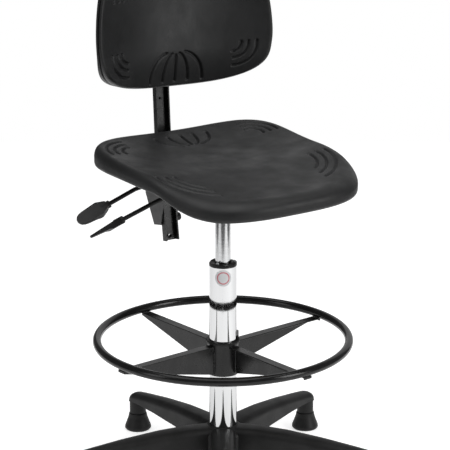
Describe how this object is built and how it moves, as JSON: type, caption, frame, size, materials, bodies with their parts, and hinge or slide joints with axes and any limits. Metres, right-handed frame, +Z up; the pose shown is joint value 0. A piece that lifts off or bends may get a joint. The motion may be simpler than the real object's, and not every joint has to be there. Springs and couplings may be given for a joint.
{
  "type": "drafting chair",
  "caption": "Tall swivel work chair with a moulded foam seat and backrest, a height-adjustable foot ring and a five-star base on glides.",
  "frame": {"origin": "on the floor, at the middle of the chair's outline seen from above", "axes": "+Z up, the sitter faces -Y, the sitter's right hand is on the -X side"},
  "size_m": [0.5778, 0.5666, 0.9419],
  "materials": {
    "chrome": "polished",
    "black_nylon": "satin",
    "black_paint": "satin",
    "pu_foam": "matte",
    "zinc_steel": "satin",
    "plywood": "matte"
  },
  "bodies": {
    "base": {"star_base": "black_nylon", "glide_1": "black_nylon", "glide_2": "black_nylon", "glide_3": "black_nylon", "glide_4": "black_nylon", "glide_5": "black_nylon", "column_tube": "chrome", "column_bush": "black_nylon", "column_end_plate": "zinc_steel", "thrust_bearing": "zinc_steel"},
    "footring": {"foot_ring": "black_paint", "foot_spoke_1": "black_paint", "foot_spoke_2": "black_paint", "foot_spoke_3": "black_paint", "foot_spoke_4": "black_paint", "footring_hub": "black_paint", "footring_bush": "black_nylon"},
    "piston": {"piston_rod": "zinc_steel", "retaining_clip": "zinc_steel"},
    "seat": {"gas_cylinder": "chrome", "cylinder_seal": "black_nylon", "lift_socket": "zinc_steel", "mechanism_housing": "black_paint", "seat_plate": "black_paint", "tilt_pin": "zinc_steel", "seat_board": "plywood", "seat_foam": "pu_foam", "seat_screw_1": "zinc_steel", "seat_screw_2": "zinc_steel", "seat_screw_3": "zinc_steel", "seat_screw_4": "zinc_steel", "height_lever_bracket": "black_nylon", "height_lever_pin": "zinc_steel", "tilt_lever_bracket": "black_nylon", "tilt_lever_pin": "zinc_steel"},
    "valve_button": {"release_button": "zinc_steel"},
    "height_lever": {"height_lever_rod": "black_paint", "height_lever_paddle": "black_nylon"},
    "tilt_lever": {"tilt_lever_rod": "black_paint", "tilt_lever_paddle": "black_nylon"},
    "back_arm": {"back_carrier": "black_paint", "bar_guide_block": "black_nylon"},
    "clamp": {"clamp_bolt": "zinc_steel", "clamp_knob": "black_nylon"},
    "backrest": {"back_bar": "black_paint", "backrest_bracket": "black_paint", "backrest_board": "plywood", "backrest_foam": "pu_foam", "backrest_screw_1": "zinc_steel", "backrest_screw_2": "zinc_steel", "backrest_screw_3": "zinc_steel", "backrest_screw_4": "zinc_steel"}
  },
  "joints": [
    {"name": "footring_height", "type": "slide", "parent": "base", "child": "footring", "axis": [0, 0, 1], "range_m": [-0.09, 0.1]},
    {"name": "seat_swivel", "type": "hinge", "parent": "base", "child": "piston", "pos_m": [0.00762, -0.01914, 0.045], "axis": [0, 0, 1], "continuous": true},
    {"name": "seat_height", "type": "slide", "parent": "piston", "child": "seat", "axis": [0, 0, 1], "range_m": [-0.068, 0.12]},
    {"name": "back_tilt", "type": "hinge", "parent": "seat", "child": "back_arm", "pos_m": [0.00762, 0.04086, 0.521], "axis": [-1, 0, 0], "range_deg": [-3, 15]},
    {"name": "back_height", "type": "slide", "parent": "back_arm", "child": "backrest", "axis": [0, 0.1513, 0.9885], "range_m": [-0.03, 0.05]},
    {"name": "clamp_turn", "type": "hinge", "parent": "back_arm", "child": "clamp", "pos_m": [0.00762, 0.18686, 0.439], "axis": [1, 0, 0], "continuous": true},
    {"name": "height_lever_lift", "type": "hinge", "parent": "seat", "child": "height_lever", "pos_m": [-0.03438, -0.00714, 0.539], "axis": [0, 1, 0], "range_deg": [0, 6], "stiffness_Nm_per_rad": 2, "springref_deg": -5.73},
    {"name": "valve_press", "type": "slide", "parent": "seat", "child": "valve_button", "axis": [0, 0, 1], "range_m": [-0.006, 0]},
    {"name": "tilt_lever_lift", "type": "hinge", "parent": "seat", "child": "tilt_lever", "pos_m": [-0.03438, 0.08086, 0.539], "axis": [0, 1, 0], "range_deg": [0, 8], "stiffness_Nm_per_rad": 2, "springref_deg": -5.73}
  ],
  "couplings": [
    {"joint": "valve_press", "follows": "height_lever_lift", "m_per_rad": -0.042}
  ]
}
